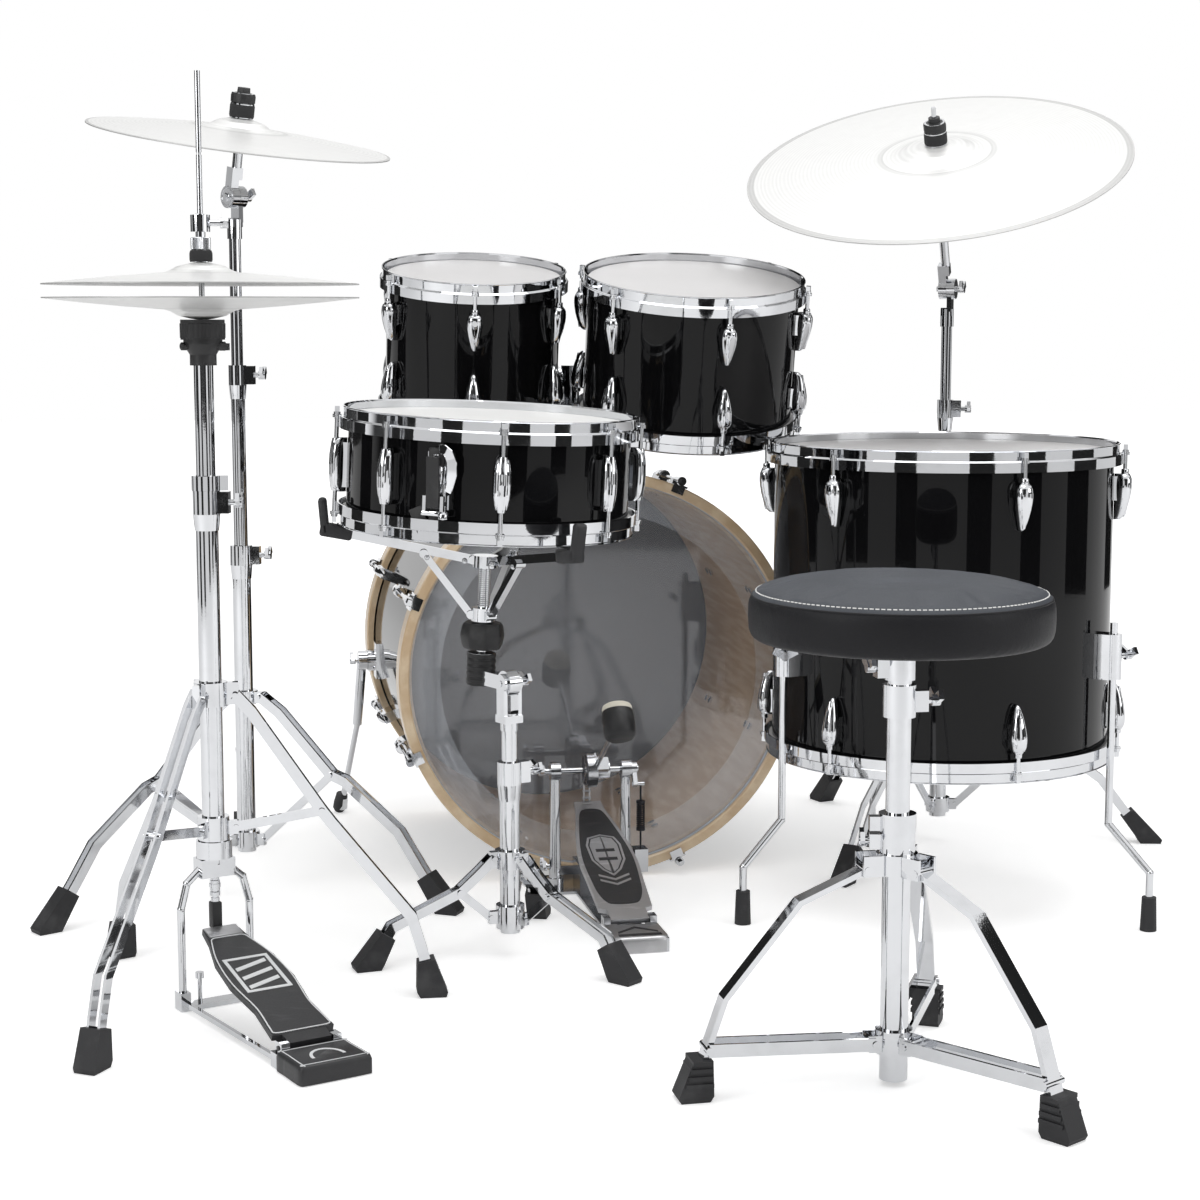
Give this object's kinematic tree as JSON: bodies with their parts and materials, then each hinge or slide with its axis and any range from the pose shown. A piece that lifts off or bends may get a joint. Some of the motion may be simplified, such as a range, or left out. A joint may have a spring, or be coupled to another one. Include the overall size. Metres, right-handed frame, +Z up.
{
  "type": "acoustic drum kit",
  "caption": "Acoustic drum kit with bass drum, rack toms, floor tom, snare, hi-hat, cymbals on straight stands, bass pedal and round throne.",
  "frame": {"origin": "on the floor, under the player's face of the bass drum and on the bass drum's centre line", "axes": "+Z up, +Y along the bass drum's axis away from the player, +X to the player's right"},
  "size_m": [1.6881, 1.6504, 1.1431],
  "materials": {
    "black_lacquer": "polished black lacquer wrap",
    "hoop_wood": "clear-lacquered maple",
    "clear_film": "transparent polyester film",
    "dark_film": "smoked polyester film",
    "white_film": "coated white polyester film",
    "chrome": "bright chrome plate",
    "cymbal": "pale polished cymbal bronze",
    "black_rubber": "moulded black rubber",
    "black_plastic": "moulded black nylon",
    "pedal_aluminium": "die-cast aluminium, tumbled",
    "black_footboard": "black powder coat on cast metal",
    "spring_steel": "black-oxide spring wire",
    "steel": "ground steel rod",
    "beater_felt": "felt and rubber beater head",
    "seat_vinyl": "black vinyl over foam"
  },
  "bodies": {
    "kit": {"bass_shell": "black_lacquer", "bass_hoops": "hoop_wood", "bass_batter_head": "clear_film", "bass_front_head": "dark_film", "bass_lugs": "chrome", "bass_claws": "chrome", "tom_mount": "chrome", "floor_tom_legs": "chrome", "snare_tripod": "chrome", "hihat_tripod": "chrome", "hihat_frame": "chrome", "crash_tripod": "chrome", "ride_tripod": "chrome", "ride_mid_tube": "chrome", "rubber_feet": "black_rubber", "pedal_frame": "chrome", "throne_tripod": "chrome", "pedal_spring": "spring_steel"},
    "spur_left": {"bass_spur_left": "chrome"},
    "spur_right": {"bass_spur_right": "chrome"},
    "tom10": {"tom10_shell": "black_lacquer", "tom10_hoops": "chrome", "tom10_heads": "white_film", "tom10_lugs": "chrome"},
    "tom12": {"tom12_shell": "black_lacquer", "tom12_hoops": "chrome", "tom12_heads": "white_film", "tom12_lugs": "chrome"},
    "floor_tom": {"floor_tom_shell": "black_lacquer", "floor_tom_hoops": "chrome", "floor_tom_heads": "white_film", "floor_tom_lugs": "chrome"},
    "snare_post": {"snare_post": "chrome"},
    "snare": {"snare_shell": "black_lacquer", "snare_hoops": "chrome", "snare_heads": "white_film", "snare_lugs": "chrome", "snare_wires": "chrome", "snare_basket": "chrome", "snare_grips": "black_rubber"},
    "snare_lever": {"snare_lever": "black_plastic"},
    "hihat_upper": {"hihat_upper_tube": "chrome", "hihat_seat_cup": "black_plastic", "hihat_bottom_cymbal": "cymbal"},
    "hihat_top": {"hihat_clutch": "chrome", "hihat_top_cymbal": "cymbal"},
    "hihat_rod": {"hihat_rod": "steel"},
    "hihat_footboard": {"hihat_footboard": "black_footboard"},
    "crash_mid": {"crash_mid_tube": "chrome"},
    "crash_top": {"crash_top_tube": "chrome"},
    "crash_tilter": {"crash_tilter": "chrome"},
    "crash_cymbal": {"crash_cymbal": "cymbal"},
    "ride_top": {"ride_top_tube": "chrome"},
    "ride_tilter": {"ride_tilter": "chrome"},
    "ride_cymbal": {"ride_cymbal": "cymbal"},
    "pedal_footboard": {"pedal_footboard": "pedal_aluminium"},
    "pedal_beater": {"pedal_cam": "chrome", "pedal_beater": "beater_felt"},
    "throne_post": {"throne_post": "chrome"},
    "throne_seat": {"throne_seat": "seat_vinyl"}
  },
  "joints": [
    {"name": "spur_left_fold", "type": "hinge", "parent": "kit", "child": "spur_left", "pos_m": [-0.2977, 0.39, 0.268], "axis": [1, 0, 0], "range_deg": [0, 60]},
    {"name": "spur_right_fold", "type": "hinge", "parent": "kit", "child": "spur_right", "pos_m": [0.2977, 0.39, 0.268], "axis": [1, 0, 0], "range_deg": [0, 60]},
    {"name": "tom10_tilt", "type": "hinge", "parent": "kit", "child": "tom10", "pos_m": [0, 0.235, 0.715], "axis": [1, 0, 0], "range_deg": [-6, 6]},
    {"name": "tom12_tilt", "type": "hinge", "parent": "kit", "child": "tom12", "pos_m": [0, 0.235, 0.715], "axis": [1, 0, 0], "range_deg": [-6, 6]},
    {"name": "floor_tom_height", "type": "slide", "parent": "kit", "child": "floor_tom", "axis": [0, 0, 1], "range_m": [0, 0.045]},
    {"name": "snare_height", "type": "slide", "parent": "kit", "child": "snare_post", "axis": [0, 0, 1], "range_m": [-0.03, 0.08]},
    {"name": "snare_tilt", "type": "hinge", "parent": "snare_post", "child": "snare", "pos_m": [-0.1935, -0.3627, 0.35], "axis": [-0.9224, -0.3862, 0], "range_deg": [-10, 10]},
    {"name": "snare_strainer", "type": "hinge", "parent": "snare", "child": "snare_lever", "pos_m": [-0.30011, -0.47997, 0.58736], "axis": [0.886, -0.461, -0.0507], "range_deg": [0, 90]},
    {"name": "hihat_height", "type": "slide", "parent": "kit", "child": "hihat_upper", "axis": [0, 0, 1], "range_m": [0, 0.1]},
    {"name": "hihat_pedal", "type": "hinge", "parent": "kit", "child": "hihat_footboard", "pos_m": [-0.47559, -0.73008, 0.022], "axis": [-0.9323, -0.3616, 0], "range_deg": [0, 3.1], "stiffness_Nm_per_rad": 200},
    {"name": "hihat_pull", "type": "slide", "parent": "kit", "child": "hihat_rod", "axis": [0, 0, 1], "range_m": [-0.014, 0]},
    {"name": "hihat_close", "type": "slide", "parent": "hihat_upper", "child": "hihat_top", "axis": [0, 0, 1], "range_m": [-0.014, 0]},
    {"name": "crash_lower_height", "type": "slide", "parent": "kit", "child": "crash_mid", "axis": [0, 0, 1], "range_m": [-0.12, 0.08]},
    {"name": "crash_upper_height", "type": "slide", "parent": "crash_mid", "child": "crash_top", "axis": [0, 0, 1], "range_m": [-0.1, 0.05]},
    {"name": "crash_tilt", "type": "hinge", "parent": "crash_top", "child": "crash_tilter", "pos_m": [-0.506, 0.012, 0.965], "axis": [0.8339, 0.5519, 0], "range_deg": [-25, 15]},
    {"name": "crash_spin", "type": "hinge", "parent": "crash_tilter", "child": "crash_cymbal", "pos_m": [-0.506, 0.012, 0.965], "axis": [0.1053, -0.1591, 0.9816], "continuous": true},
    {"name": "ride_height", "type": "slide", "parent": "kit", "child": "ride_top", "axis": [0, 0, 1], "range_m": [-0.04, 0.06]},
    {"name": "ride_tilt", "type": "hinge", "parent": "ride_top", "child": "ride_tilter", "pos_m": [0.555, 0.128, 0.845], "axis": [0.848, -0.5299, 0], "range_deg": [-25, 6]},
    {"name": "ride_spin", "type": "hinge", "parent": "ride_tilter", "child": "ride_cymbal", "pos_m": [0.555, 0.128, 0.845], "axis": [-0.2281, -0.3651, 0.9026], "continuous": true},
    {"name": "pedal_press", "type": "hinge", "parent": "kit", "child": "pedal_footboard", "pos_m": [-0.028, -0.311, 0.022], "axis": [-1, 0, 0], "range_deg": [0, 6.4], "stiffness_Nm_per_rad": 110},
    {"name": "beater_swing", "type": "hinge", "parent": "kit", "child": "pedal_beater", "pos_m": [-0.028, -0.052, 0.17], "axis": [-1, 0, 0], "range_deg": [0, 70.4], "deforming": ["pedal_spring"]},
    {"name": "throne_height", "type": "slide", "parent": "kit", "child": "throne_post", "axis": [0, 0, 1], "range_m": [0, 0.12]},
    {"name": "throne_spin", "type": "hinge", "parent": "throne_post", "child": "throne_seat", "pos_m": [0.126, -0.922, 0.48], "axis": [0, 0, 1], "continuous": true}
  ],
  "couplings": [
    {"joint": "hihat_pull", "follows": "hihat_pedal", "m_per_rad": -0.25},
    {"joint": "hihat_close", "follows": "hihat_pedal", "m_per_rad": -0.25},
    {"joint": "beater_swing", "follows": "pedal_press", "ratio": 11}
  ]
}
